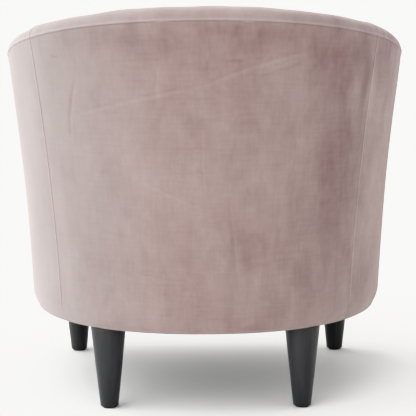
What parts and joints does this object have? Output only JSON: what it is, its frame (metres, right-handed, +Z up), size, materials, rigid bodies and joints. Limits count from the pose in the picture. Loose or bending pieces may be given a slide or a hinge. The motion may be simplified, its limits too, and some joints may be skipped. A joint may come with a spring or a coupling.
{
  "type": "club chair",
  "caption": "Tub club chair with a flared wrap-around velvet shell, a sloping rolled rim, a loose seat cushion and round tapered legs.",
  "frame": {"origin": "on the floor, under the middle of the chair's bounding box", "axes": "+Z up; the front of the chair faces -Y; +X is the sitter's left"},
  "size_m": [0.7646, 0.6608, 0.734],
  "materials": {
    "velvet": "short-pile velvet, dusty pink",
    "foam": "open-cell upholstery foam",
    "wadding": "polyester wadding",
    "fibreboard": "thin hard fibreboard",
    "plywood": "sawn plywood",
    "timber": "planed softwood",
    "leg_black": "satin black stain",
    "spring_steel": "oil-tempered wire",
    "zinc_steel": "zinc plate",
    "felt": "pressed felt",
    "black_cloth": "non-woven cloth",
    "glide": "moulded plastic"
  },
  "bodies": {
    "chair": {"arm_facings": "plywood", "arm_front_cover_left": "velvet", "arm_front_cover_right": "velvet", "arm_front_padding": "wadding", "arm_posts": "timber", "arm_uprights": "timber", "back_uprights": "timber", "base_rail_back": "plywood", "base_rail_front": "plywood", "base_side_rails": "plywood", "corner_blocks": "timber", "corner_uprights": "timber", "dust_cover": "black_cloth", "front_border_cover": "velvet", "front_border_padding": "wadding", "glides": "glide", "inner_cover_back": "velvet", "inner_cover_left": "velvet", "inner_cover_right": "velvet", "inner_foam_back": "foam", "inner_foam_left": "foam", "inner_foam_right": "foam", "inner_liner_back": "fibreboard", "inner_liner_left": "fibreboard", "inner_liner_right": "fibreboard", "leg_bolts": "zinc_steel", "leg_front_left": "leg_black", "leg_front_right": "leg_black", "leg_rear_left": "leg_black", "leg_rear_right": "leg_black", "outer_cover_back": "velvet", "outer_cover_left": "velvet", "outer_cover_right": "velvet", "outer_liner_back": "fibreboard", "outer_liner_left": "fibreboard", "outer_liner_right": "fibreboard", "outer_wadding_back": "wadding", "outer_wadding_left": "wadding", "outer_wadding_right": "wadding", "platform_cloth": "black_cloth", "platform_foam": "foam", "rim_cover_back": "velvet", "rim_cover_left": "velvet", "rim_cover_right": "velvet", "rim_foam_back": "foam", "rim_foam_left": "foam", "rim_foam_right": "foam", "seat_rail_back": "plywood", "seat_rail_front": "timber", "seat_side_rails": "plywood", "seat_springs": "spring_steel", "spring_clips": "zinc_steel", "spring_felt": "felt", "tee_nuts": "zinc_steel", "top_rail_back": "plywood", "top_rail_left": "plywood", "top_rail_right": "plywood"},
    "seat_cushion": {"cushion_cover": "velvet", "cushion_core": "foam"}
  },
  "joints": [
    {"name": "cushion_lift", "type": "slide", "parent": "chair", "child": "seat_cushion", "axis": [0, 0, 1], "range_m": [0, 0.42]}
  ]
}
